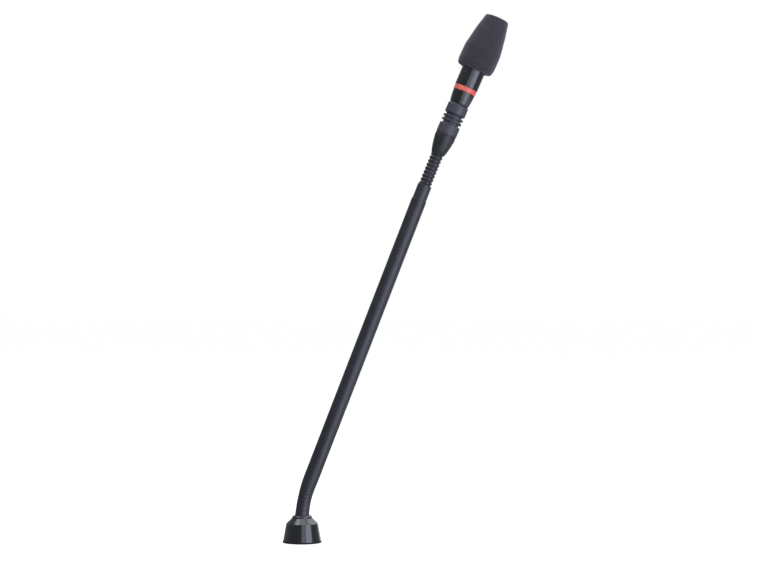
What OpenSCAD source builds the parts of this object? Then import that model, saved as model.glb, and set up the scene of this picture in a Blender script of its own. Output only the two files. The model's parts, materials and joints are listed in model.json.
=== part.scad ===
// Plug-in gooseneck desktop microphone.
//
// The base plane is z = 0 and the plug's axis is Z. The neck rises out of a bell-shaped locking ring and
// leans towards +X: a covered flexible foot, a straight tube, a short bare gooseneck, and the head.
// Both flexible lengths are the same coil, drawn turn by turn: the ball under each turn sits in the cup
// of the turn below it, and both are true spheres about one hinge centre.

/* [Neck] */
// Lean of the straight tube from the vertical, in degrees
tube_lean = 21.2; // [16:0.1:24]
// Lean of the head's axis from the vertical, in degrees
head_lean = 23.3; // [20:0.1:26]
// Lean of the neck where it leaves the base, in degrees
foot_lean = 5.4; // [2:0.1:7]
// Length of the straight tube, between the last lower and the first upper hinge
stem_length = 289.8; // [150:0.1:420]
// Number of turns in each flexible length
turns = 8; // [8:1:8]
// Distance from one turn to the next
turn_pitch = 3.52; // [3.52:0.02:4]
// Outer radius of a turn
turn_r = 5.7; // [5.4:0.05:5.7]
// Radius in the groove between two turns
groove_r = 4.75; // [4.7:0.05:4.9]

/* [Stem] */
// Outer radius of the metal tube
tube_r = 6.4; // [6.35:0.05:6.5]
// Wall of the metal tube
tube_wall = 0.8; // [0.5:0.1:0.8]
// Outer radius of the smooth sleeve over the tube
sleeve_r = 6.87; // [6.75:0.01:7]
// Outer radius of the sleeve where it covers the flexible foot
foot_sleeve_r = 6.15; // [6.1:0.01:6.25]
// Length of bare tube above the sleeve
bare_length = 14.5; // [5:0.5:40]

/* [Base] */
// Radius of the rim at the bottom of the base
rim_r = 17.55; // [17.2:0.05:20]
// Radius of the bell just above the rim
bell_low_r = 17.15; // [16:0.05:19]
// Radius of the bell at its shoulder
bell_high_r = 14.35; // [13.5:0.05:16]
// Height of the bell's shoulder
shoulder_z = 17; // [15.8:0.1:18]
// Radius of the bell's flat top
bell_top_r = 9.15; // [8.5:0.05:10]
// Height of the bell's flat top
bell_top_z = 22; // [21.8:0.1:22]
// Radius of the locking thread in the mouth of the bell
lock_r = 12.6; // [12:0.05:12.8]
// Depth of the locking thread
lock_depth = 6.6; // [5:0.1:7]
// Outer radius of the plug's shell
plug_r = 9; // [8.8:0.05:9.2]
// Number of contact pins
pins = 5; // [3:1:5]

/* [Head] */
// Radius of the head tube
head_r = 10.7; // [10.6:0.05:11]
// Radius of the light ring
light_r = 10.35; // [10.2:0.05:10.6]
// Radius of the lower housing under the light ring
housing_r = 10.1; // [9.8:0.05:10.2]
// Radius of the shock mount's bands and of the cone's top
band_r = 9.5; // [9.3:0.05:9.6]
// Radius of the cone's foot
cone_foot_r = 7; // [6.6:0.05:7.4]
// Number of lamps behind the light ring
lamps = 6; // [4:1:8]

/* [Windscreen] */
// Widest radius of the foam
foam_r = 17; // [15:0.1:18]
// Radius of the foam at its top
foam_top_r = 11.3; // [11:0.1:13]
// Radius of the foam's lower corner
foam_low_round = 5.4; // [3:0.1:6]
// Radius of the foam's upper corner
foam_high_round = 2.9; // [2:0.1:3.5]

/* [Hidden] */
$fn = 64;
round_steps = 8;

// Ball joint of one turn
ball_r = 4.2;
ball_low = 1.3;
cup_r = 4.25;
cup_deep = 2.2;
half_gap = 0.6;
crest_in = 0.65;
bore_r = 1.9;
cable_r = 1.3;

// Lean of each turn, and how much further each hinge leans
foot_step = (tube_lean - foot_lean) / turns;
top_step = (head_lean - tube_lean) / (turns + 1);
function foot_lean_of(k) = foot_lean + (k - 1) * foot_step;
function top_lean_of(k) = tube_lean + k * top_step;

// Hinge centres in the plane y = 0, as [x, z]
function along(lean) = [sin(lean), cos(lean)];
function foot_hinge(k) =
    k == 1 ? [0, 24.6] : foot_hinge(k - 1) + turn_pitch * along(foot_lean_of(k - 1));
function top_hinge(k) =
    k == 1 ? foot_hinge(turns + 1) + stem_length * along(tube_lean)
           : top_hinge(k - 1) + turn_pitch * along(top_lean_of(k - 1));
head_start = top_hinge(turns + 1) + half_gap * along(head_lean);

// Heights in the base
collar_z = foot_hinge(1)[1] - half_gap;
seat_z = 15;
washer_z = 15.55;
flange_z = 12.6;
plug_low_z = 7.6;
ferrule_z = 17;
core_top_z = 22.1;
sleeve_low_z = 20.4;
gasket_h = 1.3;

// Radii in the base
lip_r = lock_r + 0.8;
chamber_r = 11.6;
opening_r = 7.2;
shank_r = 7.13;
collar_bore_r = 6.6;
plug_bore_r = 7.95;
pin_circle_r = 4.6;
pin_r = 0.75;

// Tube ends, measured from the hinge at each end
tube_start = 2.6;
sleeve_start = 1;
sleeve_stop = bare_length + half_gap;
spigot_r = tube_r - tube_wall - 0.05;
spigot_length = 13;

// Stations along the head's axis, from the foot of the cone
cone_top = 18.27;
band_1 = [19.45, 29.1];
fin_1 = [31.8, 33.2];
fin_2 = [35.4, 36.8];
band_2 = [38.9, 48.7];
housing_low = 49.15;
light_low = 61.05;
light_high = 65.55;
barrel_low = 65.8;
barrel_high = 95.8;
grille_low = 91.8;
grille_high = 120;
foam_low = 82.75;
foam_high = 134.45;

socket_top = 11;
stud_top = 56.6;
spigot_top = 71.8;
board_low = 73;
slot_low = 98;
boot_low = 107;
capsule_high = 115.5;
straight_top = 102;

core_r = 7.4;
insert_r = 6.5;
ring_bore_r = 8.9;
neck_spigot_r = 7;
barrel_bore_r = 9.65;
grille_r = 9.6;
grille_bore_r = 8.9;
capsule_r = 7;

// Helpers ------------------------------------------------------------------------------------------------

// Puts a piece drawn along +Z at a point of the plane y = 0, leaning towards +X
module place(point, lean) {
    translate([point[0], 0, point[1]]) rotate([0, lean, 0]) children();
}

module on_head() {
    place(head_start, head_lean) children();
}

// A tube from one height to another
module ring(low, high, outer, inner) {
    translate([0, 0, low]) difference() {
        cylinder(r = outer, h = high - low);
        translate([0, 0, -1]) cylinder(r = inner, h = high - low + 2);
    }
}

module rod(low, high, radius) {
    translate([0, 0, low]) cylinder(r = radius, h = high - low);
}

// Points of a quarter turn about a centre, from one angle to another
function arc(centre, radius, from, to) =
    [for (i = [0 : round_steps])
        let (a = from + (to - from) * i / round_steps)
            centre + radius * [cos(a), sin(a)]];

// Points along a flank that bows outwards between two corners
function bow(from, to, out) =
    [for (i = [0 : round_steps])
        let (t = i / round_steps)
            from + t * (to - from) + [4 * out * t * (1 - t), 0]];

// The ball at a hinge centre, from its flat foot up to a height inside the turn above it
module ball() {
    intersection() {
        sphere(r = ball_r);
        rod(-ball_low, half_gap + 0.4, ball_r + 1);
    }
}

// The hollow in which the next ball sits, about that ball's own hinge centre
module cup() {
    intersection() {
        sphere(r = cup_r);
        rod(-cup_deep, cup_r + 1, cup_r + 1);
    }
}

// One turn of the coil, from its hinge centre towards the next
module turn() {
    low = half_gap;
    high = turn_pitch - half_gap;
    difference() {
        union() {
            ball();
            rotate_extrude() polygon([
                [0, low], [groove_r, low], [turn_r, low + crest_in],
                [turn_r, high - crest_in], [groove_r, high], [0, high]
            ]);
        }
        translate([0, 0, turn_pitch]) cup();
        rod(-ball_low - 1, turn_pitch, bore_r);
    }
}

// A round tube swept along points of the plane y = 0, with a radius at each point
function ring_points(p, lean, radius, sides) =
    [for (i = [0 : sides - 1])
        let (a = 360 * i / sides)
            [p[0] + radius * cos(a) * cos(lean), radius * sin(a), p[1] - radius * cos(a) * sin(lean)]];

module swept_rod(points, leans, radii, sides) {
    last = len(points) - 1;
    vertices = [for (k = [0 : last]) each ring_points(points[k], leans[k], radii[k], sides)];
    walls = [for (k = [0 : last - 1]) for (i = [0 : sides - 1])
        let (j = (i + 1) % sides)
            [k * sides + i, (k + 1) * sides + i, (k + 1) * sides + j, k * sides + j]];
    foot = [for (i = [0 : sides - 1]) i];
    head = [for (i = [sides - 1 : -1 : 0]) last * sides + i];
    polyhedron(vertices, concat([foot], walls, [head]));
}

// Base ---------------------------------------------------------------------------------------------------

module lock_ring() {
    color([0.13, 0.14, 0.15]) rotate_extrude() polygon([
        [lock_r, 0], [lip_r, 0], [lip_r, gasket_h], [bell_low_r, gasket_h],
        [bell_high_r + 0.05, shoulder_z - 0.3], [bell_high_r - 0.25, shoulder_z + 0.15],
        [bell_top_r, bell_top_z], [opening_r, bell_top_z], [opening_r, washer_z + 0.05],
        [chamber_r, washer_z + 0.05], [chamber_r, lock_depth], [lock_r, lock_depth]
    ]);
}

module base_gasket() {
    color([0.03, 0.03, 0.03]) rotate_extrude() polygon([
        [lip_r, 0], [rim_r - 0.3, 0], [rim_r, 0.3], [rim_r, gasket_h - 0.3],
        [rim_r - 0.2, gasket_h], [lip_r, gasket_h]
    ]);
}

// Turned core: the flange that the bell pulls down, and the shank that it turns on
module anchor_core() {
    color([0.62, 0.62, 0.6]) rotate_extrude() polygon([
        [plug_bore_r, flange_z], [10.8, flange_z], [10.8, seat_z], [shank_r, seat_z],
        [shank_r, core_top_z], [collar_bore_r, core_top_z], [collar_bore_r, sleeve_low_z - 0.2],
        [turn_r + 0.05, sleeve_low_z - 0.2], [turn_r + 0.05, ferrule_z], [5.2, ferrule_z],
        [5.2, ferrule_z - 1], [6, ferrule_z - 1], [6, seat_z], [plug_bore_r, seat_z]
    ]);
}

module thrust_washer() {
    color([0.9, 0.9, 0.86]) ring(seat_z, washer_z, 10.6, shank_r + 0.1);
}

// Shell of the plug, with the rib that keys it
module plug_shell() {
    color([0.7, 0.7, 0.68]) union() {
        rotate_extrude() polygon([
            [plug_bore_r, plug_low_z + 0.3], [plug_bore_r + 0.3, plug_low_z],
            [plug_r - 0.3, plug_low_z], [plug_r, plug_low_z + 0.3],
            [plug_r, flange_z], [plug_bore_r, flange_z]
        ]);
        translate([-0.7, -plug_bore_r - 0.2, plug_low_z + 0.6]) cube([1.4, 1.2, 4]);
    }
}

module at_pins() {
    for (i = [0 : pins - 1]) rotate([0, 0, 90 + 360 * i / pins]) translate([pin_circle_r, 0, 0]) children();
}

module plug_insert() {
    color([0.05, 0.05, 0.05]) difference() {
        rod(flange_z - 0.3, seat_z - 0.1, plug_bore_r - 0.05);
        at_pins() rod(flange_z - 1, seat_z + 1, pin_r + 0.05);
    }
}

module contact_pins() {
    color([0.85, 0.68, 0.3]) at_pins() union() {
        rod(plug_low_z + 1.2, seat_z + 0.6, pin_r);
        translate([0, 0, plug_low_z + 0.8]) cylinder(r1 = pin_r * 0.5, r2 = pin_r, h = 0.4);
    }
}

module neck_collar() {
    color([0.12, 0.12, 0.13]) rotate_extrude() polygon([
        [collar_bore_r, core_top_z], [8.9, core_top_z], [9.1, core_top_z + 0.2],
        [8.8, collar_z - 0.6], [8.1, collar_z], [collar_bore_r + 0.3, collar_z],
        [collar_bore_r, collar_z - 0.3]
    ]);
}

// End fitting of the coil in the base, with the first cup
module base_ferrule() {
    color([0.55, 0.55, 0.56]) difference() {
        rotate_extrude() polygon([
            [0, ferrule_z], [turn_r, ferrule_z], [turn_r, collar_z - crest_in],
            [groove_r, collar_z], [0, collar_z]
        ]);
        translate([0, 0, foot_hinge(1)[1]]) cup();
        rod(ferrule_z - 1, collar_z, bore_r);
    }
}

// Flexible foot ------------------------------------------------------------------------------------------

module flex_link(k) {
    color([0.4, 0.4, 0.42]) place(foot_hinge(k), foot_lean_of(k)) turn();
}

// Covering of the flexible foot, which thickens where it meets the tube's sleeve
module flex_sleeve() {
    stop = foot_hinge(turns + 1) + 0.9 * along(tube_lean);
    points = concat([[0, sleeve_low_z]], [for (k = [1 : turns + 1]) foot_hinge(k)], [stop]);
    leans = concat([0], [for (k = [1 : turns + 1])
        k == 1 ? foot_lean / 2 : foot_lean_of(k) - foot_step / 2], [tube_lean]);
    outer = [for (k = [0 : turns + 2])
        k == 1 ? foot_sleeve_r + 0.3 : k == 2 ? foot_sleeve_r + 0.15
        : foot_sleeve_r + (sleeve_r - 0.1 - foot_sleeve_r) * max(0, min(1, (k - 4) / 5))];
    inner = [for (k = [0 : turns + 2]) turn_r + 0.1];
    over = [for (k = [0 : turns + 2]) k == 0 ? -along(0) : k == turns + 2 ? along(tube_lean) : [0, 0]];
    color([0.16, 0.16, 0.18]) difference() {
        swept_rod(points, leans, outer, 32);
        swept_rod(points + over, leans, inner, 32);
    }
}

// Stem ---------------------------------------------------------------------------------------------------

module on_stem() {
    place(foot_hinge(turns + 1), tube_lean) children();
}

module stem_lower_ferrule() {
    color([0.55, 0.55, 0.56]) on_stem() difference() {
        union() {
            ball();
            rotate_extrude() polygon([
                [0, half_gap], [groove_r, half_gap], [tube_r - 0.05, tube_start - 1],
                [tube_r - 0.05, tube_start], [spigot_r, tube_start],
                [spigot_r, tube_start + spigot_length], [0, tube_start + spigot_length]
            ]);
        }
        rod(-ball_low - 1, tube_start + spigot_length + 1, bore_r);
    }
}

module stem_tube() {
    color([0.16, 0.16, 0.17]) on_stem()
        ring(tube_start, stem_length - tube_start, tube_r, tube_r - tube_wall);
}

module stem_sleeve() {
    high = stem_length - sleeve_stop;
    color([0.16, 0.16, 0.18]) on_stem() rotate_extrude() polygon([
        [tube_r + 0.05, sleeve_start], [sleeve_r, sleeve_start], [sleeve_r, high - 0.6],
        [sleeve_r - 0.2, high - 0.15], [sleeve_r - 0.35, high], [tube_r + 0.05, high]
    ]);
}

module stem_upper_ferrule() {
    flange = stem_length - tube_start;
    high = stem_length - half_gap;
    color([0.16, 0.16, 0.17]) on_stem() difference() {
        rotate_extrude() polygon([
            [0, flange - spigot_length], [spigot_r, flange - spigot_length], [spigot_r, flange],
            [tube_r, flange], [tube_r, high - 0.7], [5.3, high], [0, high]
        ]);
        translate([0, 0, stem_length]) cup();
        rod(flange - spigot_length - 1, high, bore_r);
    }
}

// Bare gooseneck -----------------------------------------------------------------------------------------

module neck_link(k) {
    color([0.3, 0.3, 0.33]) place(top_hinge(k), top_lean_of(k)) turn();
}

// Head ---------------------------------------------------------------------------------------------------

module adapter_ferrule() {
    color([0.55, 0.55, 0.56]) on_head() difference() {
        union() {
            translate([0, 0, -half_gap]) ball();
            rod(0, 0.5, groove_r);
            rod(0.4, socket_top - 0.1, 5);
        }
        rod(-ball_low - half_gap - 1, socket_top + 1, bore_r);
    }
}

module cone_adapter() {
    color([0.13, 0.13, 0.14]) on_head() rotate_extrude() polygon(concat(
        [[5.05, 0], [5.3, 0], [5.85, 0.5], [6.35, 1.4]],
        bow([cone_foot_r, 3.4], [band_r, cone_top - 0.6], 0.25),
        [[band_r - 0.2, cone_top], [6.05, cone_top], [6.05, socket_top], [5.05, socket_top]]
    ));
}

module damper_lower_insert() {
    color([0.24, 0.24, 0.25]) on_head() difference() {
        union() {
            rod(socket_top + 0.1, cone_top + 0.5, 6);
            rod(cone_top + 0.03, band_1[0] - 0.05, band_r - 0.35);
            rod(cone_top + 0.5, band_1[0] + 6.5, insert_r);
        }
        rod(socket_top, band_1[0] + 7, 3);
    }
}

// Shock mount: two bands joined by a slim core with two fins on it, hollow for the cable
module damper_rubber() {
    top = band_2[1];
    color([0.27, 0.27, 0.29]) on_head() rotate_extrude() polygon([
        [insert_r + 0.05, band_1[0]], [band_r - 0.5, band_1[0]], [band_r, band_1[0] + 0.5],
        [band_r, band_1[1] - 0.5], [band_r - 0.5, band_1[1]], [core_r, band_1[1] + 0.3],
        [core_r, fin_1[0] - 0.6], [band_r, fin_1[0]], [band_r, fin_1[1]],
        [core_r + 0.5, fin_1[1] + 0.5], [core_r + 0.5, fin_2[0] - 0.5],
        [band_r, fin_2[0]], [band_r, fin_2[1]], [core_r + 0.2, fin_2[1] + 0.6],
        [core_r + 0.2, band_2[0] - 0.3], [band_r - 0.5, band_2[0]], [band_r, band_2[0] + 0.5],
        [band_r, top - 0.9], [band_r - 0.3, top - 0.25], [band_r - 0.9, top],
        [insert_r + 0.05, top], [insert_r + 0.05, band_2[0] + 3], [4, band_2[0] + 3],
        [4, band_1[0] + 7], [insert_r + 0.05, band_1[0] + 7]
    ]);
}

module damper_upper_insert() {
    color([0.24, 0.24, 0.25]) on_head() difference() {
        union() {
            rod(band_2[0] + 3.1, housing_low - 0.3, insert_r);
            rod(band_2[1] + 0.03, housing_low - 0.03, 8.3);
            rod(housing_low - 0.3, stud_top - 0.1, 4.5);
        }
        rod(band_2[0] + 2, stud_top, 3);
    }
}

module lower_housing() {
    color([0.14, 0.14, 0.15]) on_head() rotate_extrude() polygon(concat(
        [[4.55, housing_low], [8.6, housing_low]],
        bow([8.9, housing_low + 0.3], [housing_r, light_low - 0.3], 0.2),
        [[housing_r - 0.15, light_low], [neck_spigot_r, light_low], [neck_spigot_r, spigot_top]],
        [[5.4, spigot_top], [5.4, stud_top], [4.55, stud_top]]
    ));
}

module led_strip() {
    color([0.1, 0.35, 0.16]) on_head()
        ring(light_low + 0.3, light_high - 0.2, neck_spigot_r + 0.4, neck_spigot_r + 0.05);
}

module leds() {
    low = (light_low + light_high) / 2 - 0.8;
    color([0.95, 0.75, 0.7]) on_head() for (i = [0 : lamps - 1]) rotate([0, 0, 360 * i / lamps])
        translate([neck_spigot_r + 0.45, -0.8, low]) cube([1.1, 1.6, 1.6]);
}

module light_ring() {
    color([0.89, 0.36, 0.32]) on_head() rotate_extrude() polygon([
        [ring_bore_r, light_low + 0.03], [light_r - 0.25, light_low + 0.03],
        [light_r, light_low + 0.3], [light_r, light_high - 0.3],
        [light_r - 0.25, light_high - 0.03], [ring_bore_r, light_high - 0.03]
    ]);
}

module head_bushing() {
    color([0.75, 0.6, 0.3])
        on_head() ring(light_high, spigot_top, barrel_bore_r - 0.05, neck_spigot_r + 0.05);
}

module head_tube() {
    color([0.11, 0.11, 0.12]) on_head() rotate_extrude() polygon([
        [barrel_bore_r, barrel_low], [head_r - 0.25, barrel_low], [head_r, barrel_low + 0.25],
        [head_r, barrel_high - 0.3], [head_r - 0.3, barrel_high], [barrel_bore_r, barrel_high]
    ]);
}

module head_board() {
    color([0.1, 0.35, 0.16]) on_head() translate([-7.5, -0.6, board_low]) cube([15, 1.2, 18]);
}

// Chips, a can capacitor and two connectors, on both sides of the board
module board_parts() {
    color([0.15, 0.15, 0.16]) on_head() union() {
        translate([-3, 0.65, board_low + 3]) cube([6, 1.4, 5]);
        translate([-4.5, 0.65, board_low + 11]) cube([3, 1.2, 3]);
        translate([3, 0.65, board_low + 14]) rotate([-90, 0, 0]) cylinder(r = 2, h = 4);
        translate([-2.5, -2.85, board_low + 1]) cube([5, 2.2, 3]);
        translate([-3.5, -1.75, board_low + 9]) cube([7, 1.1, 4]);
    }
}

module capsule_grille() {
    slots = 10;
    color([0.2, 0.2, 0.21]) on_head() difference() {
        rotate_extrude() polygon(concat(
            [[grille_bore_r, grille_low], [grille_r, grille_low]],
            arc([grille_r - 2, grille_high - 2], 2, 0, 90),
            [[0, grille_high], [0, grille_high - 0.8]],
            [[grille_bore_r - 1.4, grille_high - 0.8], [grille_bore_r, grille_high - 2.2]]
        ));
        for (i = [0 : slots - 1]) rotate([0, 0, 360 * (i + 0.5) / slots])
            translate([grille_r - 2, -1, slot_low]) cube([4, 2, 8]);
        for (i = [0 : 5]) rotate([0, 0, 60 * i]) rod_at(4.6, grille_high - 2, grille_high + 1, 1.3);
        rod(grille_high - 2, grille_high + 1, 1.3);
    }
}

module rod_at(x, low, high, radius) {
    translate([x, 0, 0]) rod(low, high, radius);
}

module capsule_boot() {
    color([0.1, 0.1, 0.1]) on_head() rotate_extrude() polygon([
        [5.5, boot_low], [grille_bore_r - 0.05, boot_low], [grille_bore_r - 0.05, capsule_high],
        [capsule_r + 0.05, capsule_high], [capsule_r + 0.05, boot_low + 1], [5.5, boot_low + 1]
    ]);
}

module capsule() {
    color([0.75, 0.75, 0.74]) on_head() difference() {
        rod(boot_low + 1.05, capsule_high, capsule_r);
        rod(capsule_high - 0.4, capsule_high + 1, 5.6);
        for (i = [0 : 5]) rotate([0, 0, 60 * i]) rod_at(3, capsule_high - 1, capsule_high + 1, 0.6);
    }
}

module windscreen() {
    shoulder = foam_high - 0.4 - foam_high_round;
    lean = atan2(foam_r - foam_top_r, shoulder - straight_top);
    color([0.24, 0.23, 0.26]) on_head() rotate_extrude() polygon(concat(
        [[head_r + 0.05, foam_low]],
        arc([foam_r - foam_low_round, foam_low + foam_low_round], foam_low_round, -90, 0),
        bow([foam_r, straight_top - 2], [foam_top_r + 0.1, shoulder], 0.45),
        arc([foam_top_r - foam_high_round, shoulder], foam_high_round, lean, 80),
        [[5, foam_high - 0.1], [0, foam_high], [0, grille_high + 0.3]],
        [[grille_r + 0.15, grille_high + 0.3], [grille_r + 0.15, barrel_high + 0.5]],
        [[head_r + 0.05, barrel_high + 0.5]]
    ));
}

// Cable --------------------------------------------------------------------------------------------------

// The cable inside the neck, on the centreline from the pins to the board
module signal_cable() {
    top = head_start + (board_low - 1) * along(head_lean);
    points = concat([[0, ferrule_z - 1.4]], [for (k = [1 : turns + 1]) foot_hinge(k)],
        [for (k = [1 : turns + 1]) top_hinge(k)], [top]);
    leans = concat([0], [for (k = [1 : turns + 1]) foot_lean_of(k) - foot_step / 2],
        [for (k = [1 : turns + 1]) top_lean_of(k) - top_step / 2], [head_lean]);
    color([0.55, 0.55, 0.55]) swept_rod(points, leans, [for (p = points) cable_r], 12);
}

lock_ring();
base_gasket();
anchor_core();
thrust_washer();
plug_shell();
plug_insert();
contact_pins();
neck_collar();
base_ferrule();
flex_link(1);  // flex_link_01
flex_link(2);  // flex_link_02
flex_link(3);  // flex_link_03
flex_link(4);  // flex_link_04
flex_link(5);  // flex_link_05
flex_link(6);  // flex_link_06
flex_link(7);  // flex_link_07
flex_link(8);  // flex_link_08
flex_sleeve();
stem_lower_ferrule();
stem_tube();
stem_sleeve();
stem_upper_ferrule();
neck_link(1);  // neck_link_01
neck_link(2);  // neck_link_02
neck_link(3);  // neck_link_03
neck_link(4);  // neck_link_04
neck_link(5);  // neck_link_05
neck_link(6);  // neck_link_06
neck_link(7);  // neck_link_07
neck_link(8);  // neck_link_08
adapter_ferrule();
cone_adapter();
damper_lower_insert();
damper_rubber();
damper_upper_insert();
lower_housing();
led_strip();
leds();
light_ring();
head_bushing();
head_tube();
head_board();
board_parts();
capsule_grille();
capsule_boot();
capsule();
windscreen();
signal_cable();
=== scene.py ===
"""The looks of a plug-in gooseneck desktop microphone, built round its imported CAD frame.

A piece's lengths are millimetres along and across its own axis, and become metres when its mesh is made. The
camera, the lights and the floor are placed in metres. Places, and the sizes that the CAD fixes, are read off
the frame's nodes and joints.
"""
import json
import math

import bpy
import numpy as np
from mathutils import Matrix, Vector, noise

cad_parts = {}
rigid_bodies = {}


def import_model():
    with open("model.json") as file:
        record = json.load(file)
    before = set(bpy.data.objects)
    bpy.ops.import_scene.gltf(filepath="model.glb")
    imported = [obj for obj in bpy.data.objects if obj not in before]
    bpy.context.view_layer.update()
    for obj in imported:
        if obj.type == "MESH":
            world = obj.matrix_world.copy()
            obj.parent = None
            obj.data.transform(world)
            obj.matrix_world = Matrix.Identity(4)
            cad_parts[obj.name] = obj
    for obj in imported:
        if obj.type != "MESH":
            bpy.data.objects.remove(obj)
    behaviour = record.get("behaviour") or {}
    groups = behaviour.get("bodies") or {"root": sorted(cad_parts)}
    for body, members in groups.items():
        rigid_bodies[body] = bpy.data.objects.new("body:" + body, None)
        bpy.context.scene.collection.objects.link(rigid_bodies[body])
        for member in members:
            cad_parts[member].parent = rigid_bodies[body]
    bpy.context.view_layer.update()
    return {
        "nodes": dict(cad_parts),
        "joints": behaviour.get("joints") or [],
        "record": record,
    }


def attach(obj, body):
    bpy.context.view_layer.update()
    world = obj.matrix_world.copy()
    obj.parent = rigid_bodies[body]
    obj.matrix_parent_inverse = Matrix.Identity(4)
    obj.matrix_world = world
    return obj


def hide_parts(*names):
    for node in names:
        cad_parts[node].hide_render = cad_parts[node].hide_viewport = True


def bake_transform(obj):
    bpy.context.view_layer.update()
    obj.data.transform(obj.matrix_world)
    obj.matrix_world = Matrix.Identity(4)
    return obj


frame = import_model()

MM = 0.001


# Places ---------------------------------------------------------------------------------------------------

def axis_frame(point, direction):
    """A frame with its origin at a point, +Z along a direction in the plane y = 0, and +Y kept."""
    z = Vector(direction).normalized()
    y = Vector((0, 1, 0))
    x = y.cross(z)
    turn = Matrix((x, y, z)).transposed().to_4x4()
    return Matrix.Translation(point) @ turn


def chain_of(prefix):
    """The hinges of one flexible length, in order: (centre, body below, body above)."""
    found = [j for j in frame["joints"] if j["name"].startswith(prefix)]
    return [(Vector(j["pos_m"]), j["parent"], j["child"]) for j in found]


def joint_named(name):
    return next(j for j in frame["joints"] if j["name"] == name)


foot = chain_of("foot_")
neck = chain_of("neck_")
pull = joint_named("windscreen_pull")
damper_centre = Vector(joint_named("damper_lean")["pos_m"])
stem_run = neck[0][0] - foot[-1][0]
stem_length = stem_run.length / MM
pitch = (foot[1][0] - foot[0][0]).length / MM  # of the turns, the same in both flexible lengths

BASE = Matrix.Identity(4)
STEM = axis_frame(foot[-1][0], stem_run)
HEAD = axis_frame(neck[-1][0], pull["axis"])


def span(node, matrix):
    """(low, high, inner radius, outer radius) of a CAD node about an axis, in millimetres."""
    inverse = matrix.inverted()
    points = np.array([inverse @ v.co for v in frame["nodes"][node].data.vertices]) / MM
    radii = np.hypot(points[:, 0], points[:, 1])
    return points[:, 2].min(), points[:, 2].max(), radii.min(), radii.max()


# Camera and stage -----------------------------------------------------------------------------------------

CAMERA_AT = (0.07095, -1.905, 0.2351)
LENS_MM = 100
MIDDLE = Vector((0.09, 0, 0.24))
ROOM_LIGHT = 0.23
FLOOR_RADIUS = 12
FLOOR_Z = -0.0004
FLOOR_GLOW = 0.93


def make_camera():
    data = bpy.data.cameras.new("camera")
    data.lens = LENS_MM
    camera = bpy.data.objects.new("camera", data)
    bpy.context.scene.collection.objects.link(camera)
    camera.location = CAMERA_AT
    camera.rotation_euler = (math.radians(90), 0, 0)
    bpy.context.scene.camera = camera


def softbox(name, azimuth, distance, height, size, radiance, tint):
    """A soft box that faces the middle of the object: azimuth 0 is on the camera's side, 90 on the right."""
    data = bpy.data.lights.new(name, "AREA")
    data.shape = "RECTANGLE"
    data.size, data.size_y = size
    data.energy = radiance * math.pi * size[0] * size[1]
    data.color = tint
    light = bpy.data.objects.new(name, data)
    bpy.context.scene.collection.objects.link(light)
    turn = math.radians(azimuth)
    light.location = MIDDLE + Vector((distance * math.sin(turn), -distance * math.cos(turn), height))
    light.rotation_euler = (MIDDLE - light.location).to_track_quat("-Z", "Y").to_euler()


def make_world():
    """White to the camera, and a dim cool room to the object."""
    world = bpy.data.worlds.new("studio")
    bpy.context.scene.world = world
    world.use_nodes = True
    nodes, links = world.node_tree.nodes, world.node_tree.links
    seen, lit = nodes["Background"], nodes.new("ShaderNodeBackground")
    seen.inputs["Color"].default_value = (1, 1, 1, 1)
    lit.inputs["Color"].default_value = (0.9, 0.94, 1, 1)
    lit.inputs["Strength"].default_value = ROOM_LIGHT
    mix, path = nodes.new("ShaderNodeMixShader"), nodes.new("ShaderNodeLightPath")
    links.new(path.outputs["Is Camera Ray"], mix.inputs["Fac"])
    links.new(lit.outputs[0], mix.inputs[1])
    links.new(seen.outputs[0], mix.inputs[2])
    links.new(mix.outputs[0], nodes["World Output"].inputs["Surface"])


def make_floor():
    """A white disc just under the base. The camera sees it and the object's surfaces don't."""
    bpy.ops.mesh.primitive_circle_add(vertices=96, radius=FLOOR_RADIUS, fill_type="TRIFAN")
    floor = bpy.context.object
    floor.name = "floor"
    paint = bpy.data.materials.new("floor_white")
    paint.use_nodes = True
    shader = paint.node_tree.nodes["Principled BSDF"]
    shader.inputs["Base Color"].default_value = (0.3, 0.3, 0.3, 1)
    shader.inputs["Roughness"].default_value = 1
    shader.inputs["Specular IOR Level"].default_value = 0
    shader.inputs["Emission Color"].default_value = (1, 1, 1, 1)
    shader.inputs["Emission Strength"].default_value = FLOOR_GLOW
    floor.data.materials.append(paint)
    floor.location.z = FLOOR_Z
    floor.visible_glossy = floor.visible_diffuse = floor.visible_shadow = False


def make_lights():
    softbox("key", 43, 1.3, 0.0, (1.0, 1.7), 2.6, (0.77, 0.84, 1))
    softbox("key_edge", 7, 1.4, 0.05, (0.55, 1.6), 1.25, (0.78, 0.85, 1))
    softbox("table", 92, 1.0, -0.5, (0.7, 0.5), 0.7, (0.95, 0.96, 1))
    softbox("high_left", -62, 0.9, 1.35, (0.8, 0.8), 2.6, (0.9, 0.93, 1))
    softbox("top", 160, 0.6, 1.5, (2.6, 2.2), 1.6, (0.93, 0.96, 1))
    softbox("back", 156, 1.3, 0.1, (0.5, 1.6), 0.9, (0.88, 0.92, 1))


bpy.context.scene.view_settings.view_transform = "Standard"
make_camera()
make_world()
make_floor()
make_lights()


# Mesh helpers ---------------------------------------------------------------------------------------------

AROUND = 128
SHARP_DEG = 42


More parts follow.
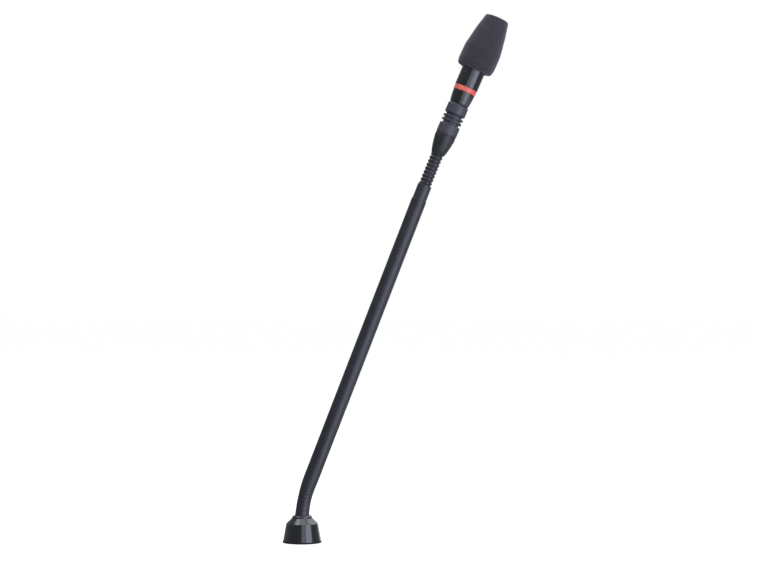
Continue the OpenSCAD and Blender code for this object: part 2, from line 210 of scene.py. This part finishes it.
def add_mesh(name, points, faces, matrix=BASE, is_sharp=None):
    """A smooth-shaded object in the row frame, from points in millimetres in a piece's own frame.

    is_sharp(first, last) says whether the edge between two points is creased; without it, the angle does.
    """
    mesh = bpy.data.meshes.new(name)
    turn, place = np.array(matrix)[:3, :3], np.array(matrix)[:3, 3]
    mesh.from_pydata((np.asarray(points) * MM @ turn.T + place).tolist(), [], faces)
    mesh.validate()
    piece = bpy.data.objects.new(name, mesh)
    bpy.context.scene.collection.objects.link(piece)
    mesh.shade_smooth()
    if is_sharp:
        for edge in mesh.edges:
            edge.use_edge_sharp = is_sharp(*edge.vertices)
    else:
        mesh.set_sharp_from_angle(angle=math.radians(SHARP_DEG))
    normals = piece.modifiers.new("even_normals", "WEIGHTED_NORMAL")
    normals.keep_sharp = True
    return piece


def soften(corners, steps=5):
    """An outline from corners (radius, height, rounding), each rounded corner turned into an arc."""
    outline = []
    count = len(corners)
    for i, (r, z, rounding) in enumerate(corners):
        here = np.array((r, z), float)
        if rounding <= 0:
            outline.append(here)
            continue
        before = np.array(corners[i - 1][:2], float) - here
        after = np.array(corners[(i + 1) % count][:2], float) - here
        room = 0.49 * min(np.linalg.norm(before), np.linalg.norm(after))
        before /= np.linalg.norm(before)
        after /= np.linalg.norm(after)
        half = math.acos(np.clip(before @ after, -1, 1)) / 2
        reach = min(rounding / math.tan(half), room)
        start, stop = here + before * reach, here + after * reach
        for k in range(steps + 1):
            t = k / steps
            outline.append((1 - t) ** 2 * start + 2 * t * (1 - t) * here + t ** 2 * stop)
    return outline


def bow(start, stop, out, steps=10):
    """Points of a flank that bows outwards between two corners, as corners with no rounding."""
    (r0, z0), (r1, z1) = start, stop
    return [
        (r0 + t * (r1 - r0) + 4 * out * t * (1 - t), z0 + t * (z1 - z0), 0)
        for t in (k / steps for k in range(steps + 1))
    ]


def revolve(outline, around):
    """Points of an outline of (radius, height) turned round the axis, by ring and by place on the ring."""
    turns = np.linspace(0, 2 * math.pi, around, endpoint=False)
    radius, height = outline[:, 0], outline[:, 1]
    return np.stack([
        np.outer(radius, np.cos(turns)), np.outer(radius, np.sin(turns)),
        np.repeat(height[:, None], around, 1),
    ], -1)


def ring_faces(rings, around, gap=None):
    """Quads from each ring of points to the next, and from the last to the first, but none after ring gap."""
    return [
        (i * around + j, i * around + k, m * around + k, m * around + j)
        for i in range(rings) for m in [(i + 1) % rings] if i != gap
        for j in range(around) for k in [(j + 1) % around]
    ]


def lathe(name, corners, matrix, around=AROUND, shape=None):
    """A closed ring of revolution from an outline of corners, and shape(points) to change its points."""
    outline = np.array(soften(corners))
    points = revolve(outline, around).reshape(-1, 3)
    if shape:
        points = shape(points)
    return add_mesh(name, points, ring_faces(len(outline), around), matrix)


# Materials ------------------------------------------------------------------------------------------------

class Paint:
    """A Principled material with helpers for its procedural detail, in object coordinates."""

    def __init__(self, name, **values):
        self.material = bpy.data.materials.new(name)
        self.material.use_nodes = True
        self.nodes, self.links = self.material.node_tree.nodes, self.material.node_tree.links
        self.shader = self.nodes["Principled BSDF"]
        for socket, value in values.items():
            self.shader.inputs[socket.replace("_", " ")].default_value = value
        self.place = self.nodes.new("ShaderNodeTexCoord").outputs["Object"]

    def stretched(self, x, y, z):
        """Object coordinates scaled along each axis."""
        node = self.nodes.new("ShaderNodeMapping")
        node.inputs["Scale"].default_value = (x, y, z)
        self.links.new(self.place, node.inputs["Vector"])
        return node.outputs[0]

    def noise(self, size_mm, detail=3, roughness=0.55, place=None):
        node = self.nodes.new("ShaderNodeTexNoise")
        node.inputs["Scale"].default_value = 1 / (size_mm * MM)
        node.inputs["Detail"].default_value = detail
        node.inputs["Roughness"].default_value = roughness
        self.links.new(place or self.place, node.inputs["Vector"])
        return node.outputs["Fac"]

    def cells(self, size_mm, feature="F1"):
        node = self.nodes.new("ShaderNodeTexVoronoi")
        node.feature = feature
        node.inputs["Scale"].default_value = 1 / (size_mm * MM)
        self.links.new(self.place, node.inputs["Vector"])
        return node.outputs["Distance"]

    def between(self, value, low, high):
        """A number that runs from low to high as value does from 0.3 to 0.7, most of a noise's range."""
        node = self.nodes.new("ShaderNodeMapRange")
        node.inputs["From Min"].default_value = 0.3
        node.inputs["From Max"].default_value = 0.7
        node.inputs["To Min"].default_value = low
        node.inputs["To Max"].default_value = high
        self.links.new(value, node.inputs["Value"])
        return node.outputs["Result"]

    def colours(self, value, *stops):
        """A colour ramp: stops are (position, (r, g, b))."""
        node = self.nodes.new("ShaderNodeValToRGB")
        ramp = node.color_ramp
        while len(ramp.elements) < len(stops):
            ramp.elements.new(0.5)
        for element, (position, colour) in zip(ramp.elements, stops):
            element.position = position
            element.color = (*colour, 1)
        self.links.new(value, node.inputs["Fac"])
        return node.outputs["Color"]

    def add(self, first, second, share):
        """first + share * second"""
        node = self.nodes.new("ShaderNodeMath")
        node.operation = "MULTIPLY_ADD"
        self.links.new(second, node.inputs[0])
        node.inputs[1].default_value = share
        self.links.new(first, node.inputs[2])
        return node.outputs[0]

    def bump(self, height, depth_mm, strength):
        node = self.nodes.new("ShaderNodeBump")
        node.inputs["Strength"].default_value = strength
        node.inputs["Distance"].default_value = depth_mm * MM
        self.links.new(height, node.inputs["Height"])
        self.links.new(node.outputs[0], self.shader.inputs["Normal"])

    def feed(self, socket, value):
        self.links.new(value, self.shader.inputs[socket])


def gloss_black(name, base, rough=(0.14, 0.24)):
    """Black gloss lacquer with a trace of orange peel and handling haze."""
    paint = Paint(name, Coat_Weight=1.0, Coat_Roughness=0.14)
    haze = paint.noise(7, 4)
    dark = tuple(c * 0.85 for c in base)
    light = tuple(c * 1.3 for c in base)
    paint.feed("Base Color", paint.colours(haze, (0.3, dark), (0.75, light)))
    paint.feed("Roughness", paint.between(haze, *rough))
    paint.bump(paint.add(paint.noise(1.6, 2), paint.noise(0.35, 1), 0.25), 0.012, 0.5)
    return paint.material


def satin_sleeve():
    """Shrunk-on sleeve: satin, with a faint grain drawn out upwards (along Z, not along the lean)."""
    paint = Paint("satin_sleeve", Coat_Weight=0.15, Coat_Roughness=0.3)
    drawn = paint.noise(1.1, 3, place=paint.stretched(1, 1, 0.07))
    cloud = paint.noise(9, 3)
    paint.feed("Base Color", paint.colours(
        cloud, (0.3, (0.023, 0.023, 0.029)), (0.7, (0.033, 0.033, 0.041))))
    paint.feed("Roughness", paint.between(drawn, 0.34, 0.44))
    paint.bump(paint.add(drawn, paint.noise(0.4, 2), 0.5), 0.02, 0.45)
    return paint.material


def satin_metal(name, dark, light, rough=(0.28, 0.42), metal=0.0, grain_mm=0.5, drawn=1.0):
    """Painted or turned metal with a fine grain, stretched level (along X and Y) when drawn is under 1."""
    paint = Paint(name, Metallic=metal)
    grain = paint.noise(grain_mm, 3, place=paint.stretched(drawn, drawn, 1))
    cloud = paint.noise(5, 3)
    paint.feed("Base Color", paint.colours(cloud, (0.3, dark), (0.7, light)))
    paint.feed("Roughness", paint.between(grain, *rough))
    paint.bump(grain, 0.015, 0.4)
    return paint.material


def moulded(name, dark, light, rough=(0.6, 0.8), grain_mm=0.45, depth_mm=0.03):
    """Moulded rubber or plastic with a fine matte grain."""
    paint = Paint(name)
    grain = paint.add(paint.noise(grain_mm, 4), paint.cells(grain_mm * 1.6), 0.4)
    cloud = paint.noise(4, 4)
    paint.feed("Base Color", paint.colours(cloud, (0.3, dark), (0.72, light)))
    paint.feed("Roughness", paint.between(grain, *rough))
    paint.bump(grain, depth_mm, 0.6)
    return paint.material


def foam_material():
    """Open-cell foam: lighter strands with painted shade darkening the pore hollows, and a soft bloom at
    grazing light.
    """
    paint = Paint("foam", Roughness=0.95, Sheen_Weight=0.6, Sheen_Roughness=0.5,
                  Sheen_Tint=(0.6, 0.57, 0.66, 1), Specular_IOR_Level=0.2)
    pores = paint.cells(0.75)
    cloud = paint.noise(3.2, 4)
    # Base colour: painted shade, darkest at the pore centres, mixed with a random cloud of tone.
    pore_shade_and_tone = paint.add(pores, cloud, 0.8)
    paint.feed("Base Color", paint.colours(
        pore_shade_and_tone,
        (0.35, (0.021, 0.0185, 0.0222)),
        (0.6, (0.041, 0.036, 0.0435)),
        (0.9, (0.057, 0.05, 0.0585)),
    ))
    paint.bump(pores, 0.25, 0.8)
    return paint.material


def lit_red():
    """Red ring with a faint uneven glow of its own, as if lit from behind by its lamps."""
    paint = Paint("lit_red", Roughness=0.3, Coat_Weight=0.3, Coat_Roughness=0.15, Emission_Strength=0.3)
    cloud = paint.noise(2.5, 3)
    paint.feed("Base Color", paint.colours(cloud, (0.3, (0.6, 0.065, 0.05)), (0.7, (0.7, 0.1, 0.08))))
    glow = paint.noise(5.5, 1)
    paint.feed("Emission Color", paint.colours(glow, (0.3, (0.75, 0.1, 0.075)), (0.7, (1.0, 0.3, 0.22))))
    paint.bump(paint.noise(0.5, 2), 0.01, 0.4)
    return paint.material


def circuit_board():
    paint = Paint("circuit_board", Roughness=0.45, Coat_Weight=0.4)
    tracks = paint.cells(1.4, "DISTANCE_TO_EDGE")
    paint.feed("Base Color", paint.colours(tracks, (0.04, (0.01, 0.07, 0.03)), (0.12, (0.02, 0.13, 0.05))))
    paint.bump(tracks, 0.03, 0.3)
    return paint.material


MATERIALS = {
    "gloss_black": gloss_black("bell_lacquer", (0.0075, 0.008, 0.0095)),
    "head_gloss": gloss_black("head_lacquer", (0.007, 0.007, 0.0085), (0.18, 0.3)),
    "gasket_black": moulded("gasket_rubber", (0.004, 0.004, 0.004), (0.008, 0.008, 0.008)),
    "core_metal": satin_metal(
        "turned_aluminium", (0.42, 0.42, 0.42), (0.56, 0.56, 0.55), (0.25, 0.4), 1.0),
    "nylon": moulded("nylon", (0.62, 0.6, 0.55), (0.72, 0.7, 0.65), (0.4, 0.55)),
    "plug_steel": satin_metal(
        "nickel_plate", (0.5, 0.49, 0.46), (0.62, 0.61, 0.57), (0.15, 0.28), 1.0),
    "black_plastic": moulded(
        "black_plastic", (0.008, 0.008, 0.008), (0.015, 0.015, 0.016), (0.45, 0.6)),
    "contact_gold": satin_metal(
        "contact_gold", (0.72, 0.5, 0.17), (0.83, 0.62, 0.26), (0.12, 0.22), 1.0),
    "fitting_steel": satin_metal(
        "turned_steel", (0.33, 0.33, 0.34), (0.46, 0.46, 0.47), (0.25, 0.42), 1.0),
    "coil_black": satin_metal(
        "coil_black", (0.028, 0.028, 0.033), (0.045, 0.045, 0.052), (0.28, 0.42), 0.0, 0.6),
    "sleeve_black": satin_sleeve(),
    "insert_black": satin_metal(
        "insert_black", (0.04, 0.04, 0.042), (0.06, 0.06, 0.063), (0.35, 0.5), 0.6),
    "tube_black": satin_metal(
        "tube_black", (0.034, 0.034, 0.04), (0.046, 0.046, 0.054), (0.26, 0.38), 0.0, 0.6),
    "cone_black": satin_metal(
        "cone_black", (0.022, 0.022, 0.024), (0.031, 0.031, 0.034), (0.34, 0.44), 0.0, 0.7),
    "damper_grey": moulded(
        "damper_rubber", (0.056, 0.056, 0.07), (0.076, 0.076, 0.093), (0.33, 0.44), 0.5, 0.012),
    "light_red": lit_red(),
    "board_green": circuit_board(),
    "chip_black": moulded("chip_black", (0.015, 0.015, 0.015), (0.03, 0.03, 0.03), (0.4, 0.55)),
    "lamp_white": moulded("lamp_lens", (0.7, 0.45, 0.4), (0.85, 0.6, 0.55), (0.2, 0.3)),
    "bush_brass": satin_metal(
        "turned_brass", (0.5, 0.36, 0.14), (0.65, 0.5, 0.22), (0.22, 0.36), 1.0),
    "grille_black": satin_metal(
        "grille_black", (0.02, 0.02, 0.021), (0.035, 0.035, 0.037), (0.3, 0.45), 0.0, 0.4),
    "capsule_metal": satin_metal(
        "capsule_can", (0.5, 0.5, 0.49), (0.62, 0.62, 0.6), (0.2, 0.35), 1.0),
    "foam_charcoal": foam_material(),
    "cable_grey": moulded("cable_jacket", (0.09, 0.09, 0.09), (0.14, 0.14, 0.14), (0.5, 0.65)),
}


def finish(piece, slot, *nodes):
    """Gives a piece its material and slot, and lets it stand for CAD nodes."""
    piece.data.materials.clear()
    piece.data.materials.append(MATERIALS[slot])
    if nodes:
        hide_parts(*nodes)
    return piece


def repaint_frame():
    """Every CAD node gets the finish of its own slot."""
    slots = {s["node"]: s["material_slot"] for s in frame["record"]["subparts"]}
    for name, node in frame["nodes"].items():
        node.data.materials.clear()
        node.data.materials.append(MATERIALS[slots[name]])


repaint_frame()


# Base -----------------------------------------------------------------------------------------------------

def make_bell():
    """Locking ring: a coned bell with a bevelled top, a thread inside its mouth and a hollow above it."""
    gasket_high = span("base_gasket", BASE)[1]
    washer_high = span("thrust_washer", BASE)[1]
    core_r = span("anchor_core", BASE)[3]
    _, top, opening, low_r = span("lock_ring", BASE)
    lip_r, chamber_r, chamber_top = 13.4, core_r + 0.8, washer_high + 0.05
    high_r, shoulder, top_r = 14.35, 17.0, 9.15
    thread_r, thread_low, thread_top = 12.6, 0.5, 6.6
    thread_pitch, thread_depth, thread_rings = 1.5, 0.45, 60
    fade_low, fade_high = 0.8, 0.5
    thread = [
        (thread_r, thread_low + thread_top * 0.9 * (1 - k / thread_rings), 0)
        for k in range(thread_rings + 1)
    ]

    def cut_thread(points):
        """Widens the rings of the mouth along a helix, which fades out towards both ends."""
        height = points[:, 2]
        radius = np.hypot(points[:, 0], points[:, 1])
        angle = np.arctan2(points[:, 1], points[:, 0]) / (2 * math.pi)
        inside = np.abs(radius - thread_r) < 0.01
        inside &= (height > thread_low - 0.1) & (height < thread_top - 0.1)
        wave = np.abs(((height / thread_pitch - angle) % 1) - 0.5) * 2
        fade = np.clip((height - thread_low) / fade_low, 0, 1)
        fade = fade * np.clip((thread_top - 0.2 - height) / fade_high, 0, 1)
        wider = 1 + np.where(inside, thread_depth * wave * fade / radius, 0)
        points[:, 0] *= wider
        points[:, 1] *= wider
        return points

    corners = [
        (lip_r, 0, 0.15), (lip_r, gasket_high, 0), (low_r, gasket_high, 0.25),
        (high_r, shoulder, 0.7), (top_r, top, 0.35), (opening, top, 0.15),
        (opening, chamber_top, 0), (chamber_r, chamber_top, 0.3), (chamber_r, thread_top, 0.1),
        (thread_r, thread_top, 0),
    ] + thread + [(thread_r, 0.3, 0), (thread_r + 0.3, 0, 0)]
    bell = lathe("bell", corners, BASE, 160, cut_thread)
    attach(finish(bell, "gloss_black", "lock_ring"), "lock_ring")


def make_gasket():
    low, high, inner, outer = span("base_gasket", BASE)
    corners = [(inner, low, 0.1), (outer, low, 0.35), (outer, high, 0.45), (inner, high, 0)]
    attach(finish(lathe("gasket", corners, BASE), "gasket_black", "base_gasket"), "lock_ring")


def make_collar():
    low, high, inner, outer = span("neck_collar", BASE)
    corners = [
        (inner, low, 0), (outer - 0.1, low, 0.15), (outer, low + 0.25, 0.1),
        (outer - 0.3, high - 0.55, 0.4), (outer - 1.1, high, 0.25),
        (inner + 0.35, high, 0.15), (inner, high - 0.4, 0.1),
    ]
    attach(finish(lathe("collar", corners, BASE), "gloss_black", "neck_collar"), "base")


# Flexible lengths -----------------------------------------------------------------------------------------

def bent_rings(hinge, below, above, rings):
    """(along, frame) through one hinge's length: half a turn below it on one axis, half above on the next."""
    places = []
    for k in range(rings + 1):
        along = (k / rings - 0.5) * pitch * MM
        axis = below if along < 0 else above
        places.append((along / MM, axis_frame(hinge + axis * along, axis)))
    return places


def skin(name, places, outer, inner, around):
    """A closed tube through frames, outer(along, angles) and inner giving its radii in millimetres."""
    angles = np.linspace(0, 2 * math.pi, around, endpoint=False)
    circle = np.stack([np.cos(angles), np.sin(angles), np.zeros(around)], -1)

    def ring(matrix, radii):
        turn, middle = np.array(matrix)[:3, :3], np.array(matrix)[:3, 3] / MM
        return (circle * radii) @ turn.T + middle

    walls = [ring(matrix, np.asarray(outer(along, angles)).reshape(-1, 1)) for along, matrix in places]
    walls += [ring(matrix, inner) for _, matrix in reversed(places)]
    rings = len(walls)
    ends = (0, rings // 2 - 1, rings // 2, rings - 1)

    def on_end(first, last):
        """Only the edges that run round the four end rings are creased."""
        return first // around == last // around and first // around in ends

    return add_mesh(name, np.concatenate(walls), ring_faces(rings, around), is_sharp=on_end)


def axes_of(chain, first_axis, last_axis):
    """The axis below each hinge of a chain and above the last."""
    between = [(b[0] - a[0]).normalized() for a, b in zip(chain, chain[1:])]
    return [first_axis, *between, last_axis]


stem_axis = stem_run.normalized()
foot_axes = axes_of(foot, Vector((0, 0, 1)), stem_axis)
neck_axes = axes_of(neck, stem_axis, Vector(pull["axis"]).normalized())


def over_hinges(chain, axes, prefix, outer, inner, slot, rings, around=96, nodes=()):
    """One tube for each hinge of a chain, bent at the hinge. They meet halfway along the turns between the
    hinges.
    """
    for k, (centre, body_below, body_above) in enumerate(chain):
        below, above = axes[k], axes[k + 1]
        places = bent_rings(centre, below, above, rings)
        piece = skin(f"{prefix}_{k + 1:02d}", places, lambda a, t, k=k: outer(k, a, t), inner, around)
        finish(piece, slot, *nodes[k:k + 1])
        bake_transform(piece)


COIL_CREST_R, COIL_GROOVE_R, COIL_INNER_R = 5.75, 4.75, 4.4
ROUND_WIRE_HALF, ROUND_WIRE_POWER = 0.4, 0.6    # half its width as a share of the pitch, and its fullness
SLIM_WIRE_HALF, SLIM_WIRE_HIGH = 0.11, 0.16     # the same, and its height as a share of the groove's depth


def coil_radius(k, along, angles):
    """Radius of the bare gooseneck: a round wire wound in one start, with a slimmer one in its groove."""
    from_crest = np.abs((along / pitch - angles / (2 * math.pi)) % 1 - 0.5)
    round_wire = np.clip(1 - (from_crest / ROUND_WIRE_HALF) ** 2, 0, 1) ** ROUND_WIRE_POWER
    slim_wire = SLIM_WIRE_HIGH * np.clip(1 - ((0.5 - from_crest) / SLIM_WIRE_HALF) ** 2, 0, 1)
    return COIL_GROOVE_R + (COIL_CREST_R - COIL_GROOVE_R) * np.maximum(round_wire, slim_wire)


def make_neck():
    nodes = [f"neck_link_{k:02d}" for k in range(1, len(neck))]
    over_hinges(neck, neck_axes, "neck_coil", coil_radius, COIL_INNER_R, "coil_black", 40, nodes=nodes)


FOOT_LOW_R, FOOT_MID_R, FOOT_INNER_R = 6.6, 6.15, 5.82
RIPPLE_MM = 0.045
_, sleeve_high, sleeve_inner, sleeve_r = span("stem_sleeve", STEM)


def sleeve_radius(k, along, angles):
    """Radius of the sleeve over the flexible foot, with the wound coil showing faintly through it."""
    turns_up = k + 0.5 + along / pitch
    flare = (FOOT_LOW_R - FOOT_MID_R) * max(0, 1 - turns_up / 2.6) ** 2
    t = min(1, max(0, (turns_up - 4) / 6.5))
    swell = (sleeve_r - FOOT_MID_R) * t * t * (3 - 2 * t)
    fade_low, fade_high = min(1, turns_up / 2), min(1, max(0, (9.5 - turns_up) / 3))
    ripple = RIPPLE_MM * np.cos(2 * math.pi * (along / pitch) - angles) * fade_low * fade_high
    return FOOT_MID_R + flare + swell + ripple


def make_foot():
    """The sleeve over the flexible foot, and the short end of it that is tucked into the collar."""
    over_hinges(
        foot, foot_axes, "foot_sleeve", sleeve_radius, FOOT_INNER_R, "sleeve_black", 16,
        nodes=["flex_sleeve"],
    )
    low = span("flex_sleeve", BASE)[0]
    high = foot[0][0].z / MM - pitch / 2
    corners = [
        (6.2, low, 0.1), (6.2, high - 1.2, 0), (FOOT_LOW_R - 0.02, high, 0),
        (FOOT_INNER_R, high, 0), (FOOT_INNER_R, low, 0.1),
    ]
    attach(finish(lathe("foot_sleeve_tuck", corners, BASE), "sleeve_black"), "base")


# Stem -----------------------------------------------------------------------------------------------------

def make_stem():
    """The sleeve over the straight tube, its rolled upper edge, and the bare end of the tube above it."""
    low, high = pitch / 2, sleeve_high
    join_r = float(np.mean(sleeve_radius(len(foot) - 1, pitch / 2, np.zeros(1))))
    corners = [
        (sleeve_inner, low, 0), (join_r, low, 0), (sleeve_r, low + 4, 0), (sleeve_r, low + 9, 0),
        (sleeve_r, high - 2.2, 0), (sleeve_r + 0.02, high - 1.2, 0.3), (sleeve_r - 0.02, high, 0.35),
        (sleeve_inner, high, 0.05),
    ]
    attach(finish(lathe("stem_sleeve_skin", corners, STEM), "sleeve_black", "stem_sleeve"), "stem")
    _, tube_high, tube_inner, tube_r = span("stem_tube", STEM)
    top = span("stem_upper_ferrule", STEM)[1]
    mouth_r = 5.75
    corners = [
        (tube_inner + 0.1, high - 6, 0), (tube_r, high - 6, 0), (tube_r, tube_high + 0.4, 0),
        (tube_r, top - 0.5, 0.45), (mouth_r, top, 0.2), (mouth_r, top - 1.5, 0),
        (tube_inner + 0.1, top - 1.6, 0),
    ]
    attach(finish(lathe("stem_end", corners, STEM), "tube_black"), "stem")


# Head -----------------------------------------------------------------------------------------------------

def make_cone():
    """The cone, with a rounded foot, a flank that bows out a little, and a socket in its top."""
    low, high, _, radius = span("cone_adapter", HEAD)
    bore_r, socket_r = 5.05, 6.1
    corners = [(bore_r, low + 0.4, 0.1), (5.35, low, 0.15), (5.9, low + 0.45, 0.4), (6.35, low + 1.4, 0.5)]
    corners += bow((7.0, low + 3.4), (radius, high - 0.7), 0.25)
    corners += [(radius - 0.1, high - 0.1, 0.3), (socket_r, high, 0), (socket_r, high - 7, 0)]
    corners += [(bore_r, high - 7.2, 0)]
    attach(finish(lathe("cone", corners, HEAD), "cone_black", "cone_adapter"), "adapter")


def make_damper():
    """The rubber mount in two halves that meet between its fins."""
    low, high, _, radius = span("damper_rubber", HEAD)
    middle = (HEAD.inverted() @ damper_centre).z / MM
    bore, inner, core, band = 4, 6.55, 7.4, 9.65
    waist, fin = core + 0.4, radius - 0.1
    lower = [
        (inner, low, 0), (radius - 0.15, low, 0.3), (radius, low + 0.5, 0.4),
        (radius, low + band - 0.5, 0.4), (radius - 0.5, low + band, 0.4),
        (core, low + band + 0.3, 0.3), (core, middle - 2.8, 0.3),
        (fin, middle - 2.35, 0.3), (fin, middle - 0.85, 0.3), (waist, middle - 0.35, 0.2),
        (waist, middle, 0), (bore, middle, 0), (bore, low + 7.2, 0), (inner, low + 7.2, 0),
    ]
    upper = [
        (bore, middle, 0), (waist, middle, 0), (waist, middle + 0.8, 0.2),
        (fin, middle + 1.3, 0.3), (fin, middle + 2.8, 0.3),
        (core, middle + 3.35, 0.3), (core, high - band - 0.5, 0.3),
        (radius - 0.5, high - band, 0.4), (radius, high - band + 0.5, 0.4), (radius, high - 0.9, 0.5),
        (radius - 0.9, high, 0.5), (inner, high, 0), (inner, high - 6.5, 0), (bore, high - 6.5, 0),
    ]
    for name, corners, pair, start, stop, nodes in (
        ("damper_lower", lower, ("adapter", "damper"), low + band, middle, ["damper_rubber"]),
        ("damper_upper", upper, ("damper", "head"), middle, high - band, []),
    ):
        piece = finish(lathe(name, corners, HEAD), "damper_grey", *nodes)
        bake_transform(piece)


def make_housing():
    """The tapered housing up to a hair below the red ring, and the spigot that goes on up inside it."""
    low, high, inner, radius = span("lower_housing", HEAD)
    step = span("light_ring", HEAD)[0] - 0.03
    spigot_r, spigot_inner = 7, 5.4
    corners = [(inner, low, 0.1), (8.55, low, 0.25)]
    corners += bow((8.9, low + 0.35), (radius, step - 0.35), 0.2)
    corners += [
        (radius - 0.12, step, 0.15), (spigot_r, step, 0), (spigot_r, high, 0.2),
        (spigot_inner, high, 0), (spigot_inner, step - 4, 0), (inner, step - 4, 0),
    ]
    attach(finish(lathe("housing", corners, HEAD), "head_gloss", "lower_housing"), "head")


def make_light_ring():
    low, high, inner, radius = span("light_ring", HEAD)
    corners = [
        (inner, low, 0.1), (radius, low, 0.4), (radius + 0.06, (low + high) / 2, 1.5),
        (radius, high, 0.4), (inner, high, 0.1),
    ]
    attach(finish(lathe("red_ring", corners, HEAD), "light_red", "light_ring"), "head")


def make_barrel():
    """The head's tube, down to a hair above the red ring."""
    _, high, inner, radius = span("head_tube", HEAD)
    low = span("light_ring", HEAD)[1] + 0.06
    corners = [(inner, low, 0.1), (radius, low, 0.35), (radius, high, 0.45), (inner, high, 0.15)]
    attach(finish(lathe("barrel", corners, HEAD), "head_gloss", "head_tube"), "head")


# Windscreen -----------------------------------------------------------------------------------------------

FOAM_RINGS_MM = 0.45
FOAM_AROUND = 236
FOAM_LEAN_MM = 1.15
PORE_MM, PORE_WALL = 1.15, 0.55
PORE_DEPTH_MM, GRAIN_DEPTH_MM, SWELL_DEPTH_MM = 0.16, 0.07, 0.16
POLE_R = 0.02


def foam_outline(low, high, radius, barrel_r):
    """Outer outline of the foam, from the barrel round to its crown."""
    corners = [
        (barrel_r + 0.1, low + 0.9, 0.4), (barrel_r + 1.6, low, 1.2), (radius - 1.0, low + 0.9, 3.0),
        (radius, low + 6, 3.0), (radius, low + 14, 8.0), (radius - 0.15, low + 20, 8.0),
        (13.9, low + 37.4, 22.0), (11.45, high - 3.6, 10.0), (10.6, high - 0.5, 2.6),
        (4, high - 0.05, 3.0), (POLE_R, high, 0),
    ]
    outline = np.array(soften(corners, 10))
    lengths = np.concatenate([[0], np.cumsum(np.hypot(*np.diff(outline, axis=0).T))])
    at = np.linspace(0, lengths[-1], int(lengths[-1] / FOAM_RINGS_MM))
    return np.stack([np.interp(at, lengths, outline[:, 0]), np.interp(at, lengths, outline[:, 1])], -1)


def pore_depth(point):
    """How far the surface stands in or out at a point: open pores, and the slow unevenness of cut foam."""
    place = Vector(point)
    distances, _ = noise.voronoi(place / PORE_MM)
    pore = min(1.0, distances[0] / PORE_WALL)
    grain = noise.noise(place * 2.3)
    swell = noise.noise(place / 7.0)
    return PORE_DEPTH_MM * (pore - 0.6) + GRAIN_DEPTH_MM * grain + SWELL_DEPTH_MM * swell


def make_windscreen():
    """The foam cap: a rough outside, and a smooth hollow that fits the barrel and clears the grille."""
    low, high, _, radius = span("windscreen", HEAD)
    _, barrel_top, _, barrel_r = span("head_tube", HEAD)
    _, grille_top, _, grille_r = span("capsule_grille", HEAD)
    outer = foam_outline(low, high, radius, barrel_r)
    bore_r, hollow_r = barrel_r + 0.06, grille_r + 0.2
    inner = np.array([
        (POLE_R, grille_top + 0.4), (grille_r - 1, grille_top + 0.4), (hollow_r, grille_top - 0.6),
        (hollow_r, barrel_top + 0.6), (bore_r, barrel_top + 0.5), (bore_r, low + 1.2),
    ])
    outline = np.concatenate([outer, inner])
    turns = np.linspace(0, 2 * math.pi, FOAM_AROUND, endpoint=False)
    points = revolve(outline, FOAM_AROUND)
    slope = np.gradient(outer, axis=0)
    normal = np.stack([slope[:, 1], -slope[:, 0]], -1)
    normal /= np.linalg.norm(normal, axis=1)[:, None]
    for i in range(len(outer)):
        for j, turn in enumerate(turns):
            push = pore_depth(points[i, j])
            points[i, j, 0] += push * normal[i, 0] * math.cos(turn)
            points[i, j, 1] += push * normal[i, 0] * math.sin(turn)
            points[i, j, 2] += push * normal[i, 1]
    height = (points[:len(outer), :, 2] - low) / (high - low)
    points[:len(outer), :, 0] += FOAM_LEAN_MM * np.clip(height, 0, 1)
    crown, roof = len(outer) - 1, len(outer)
    faces = ring_faces(len(outline), FOAM_AROUND, crown)
    faces.append([crown * FOAM_AROUND + j for j in range(FOAM_AROUND)])
    faces.append([roof * FOAM_AROUND + j for j in reversed(range(FOAM_AROUND))])
    foam = add_mesh("foam_cap", points.reshape(-1, 3), faces, HEAD)
    foam.modifiers.clear()
    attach(finish(foam, "foam_charcoal", "windscreen"), "windscreen")


# Cable ----------------------------------------------------------------------------------------------------

def make_cable():
    """The hidden cable, in stretches; the straight ones ride with the bodies round them."""
    radius, core = 1.3, 0.2
    steps = 8

    def wall(k, along, angles):
        return np.full(len(angles), radius)

    def straight(name, matrix, low, high, body, *nodes):
        corners = [(core, low, 0), (radius, low, 0.15), (radius, high, 0.15), (core, high, 0)]
        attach(finish(lathe(name, corners, matrix, 24), "cable_grey", *nodes), body)

    for chain, axes, prefix in ((foot, foot_axes, "cable_foot"), (neck, neck_axes, "cable_neck")):
        over_hinges(chain, axes, prefix, wall, core, "cable_grey", 8, 24)
    low = span("signal_cable", BASE)[0]
    straight("cable_base", BASE, low, foot[0][0].z / MM - pitch / 2, "base")
    straight("cable_stem", STEM, pitch / 2, stem_length - pitch / 2, "stem", "signal_cable")
    band_low, band_high = span("damper_rubber", HEAD)[:2]
    middle = (HEAD.inverted() @ damper_centre).z / MM
    top = span("signal_cable", HEAD)[1]
    straight("cable_adapter", HEAD, pitch / 2, band_low + 8, "adapter")
    straight("cable_head", HEAD, band_high - 8, top, "head")
    for name, pair, start, stop in (
        ("cable_damper_lower", ("adapter", "damper"), band_low + 8, middle),
        ("cable_damper_upper", ("damper", "head"), middle, band_high - 8),
    ):
        flank = [(radius, start + (stop - start) * k / steps, 0) for k in range(steps + 1)]
        corners = [(core, start, 0), *flank, (core, stop, 0)]
        piece = finish(lathe(name, corners, HEAD, 24), "cable_grey")
        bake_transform(piece)


make_bell()
make_gasket()
make_collar()
make_foot()
make_stem()
make_neck()
make_cone()
make_damper()
make_housing()
make_light_ring()
make_barrel()
make_windscreen()
make_cable()
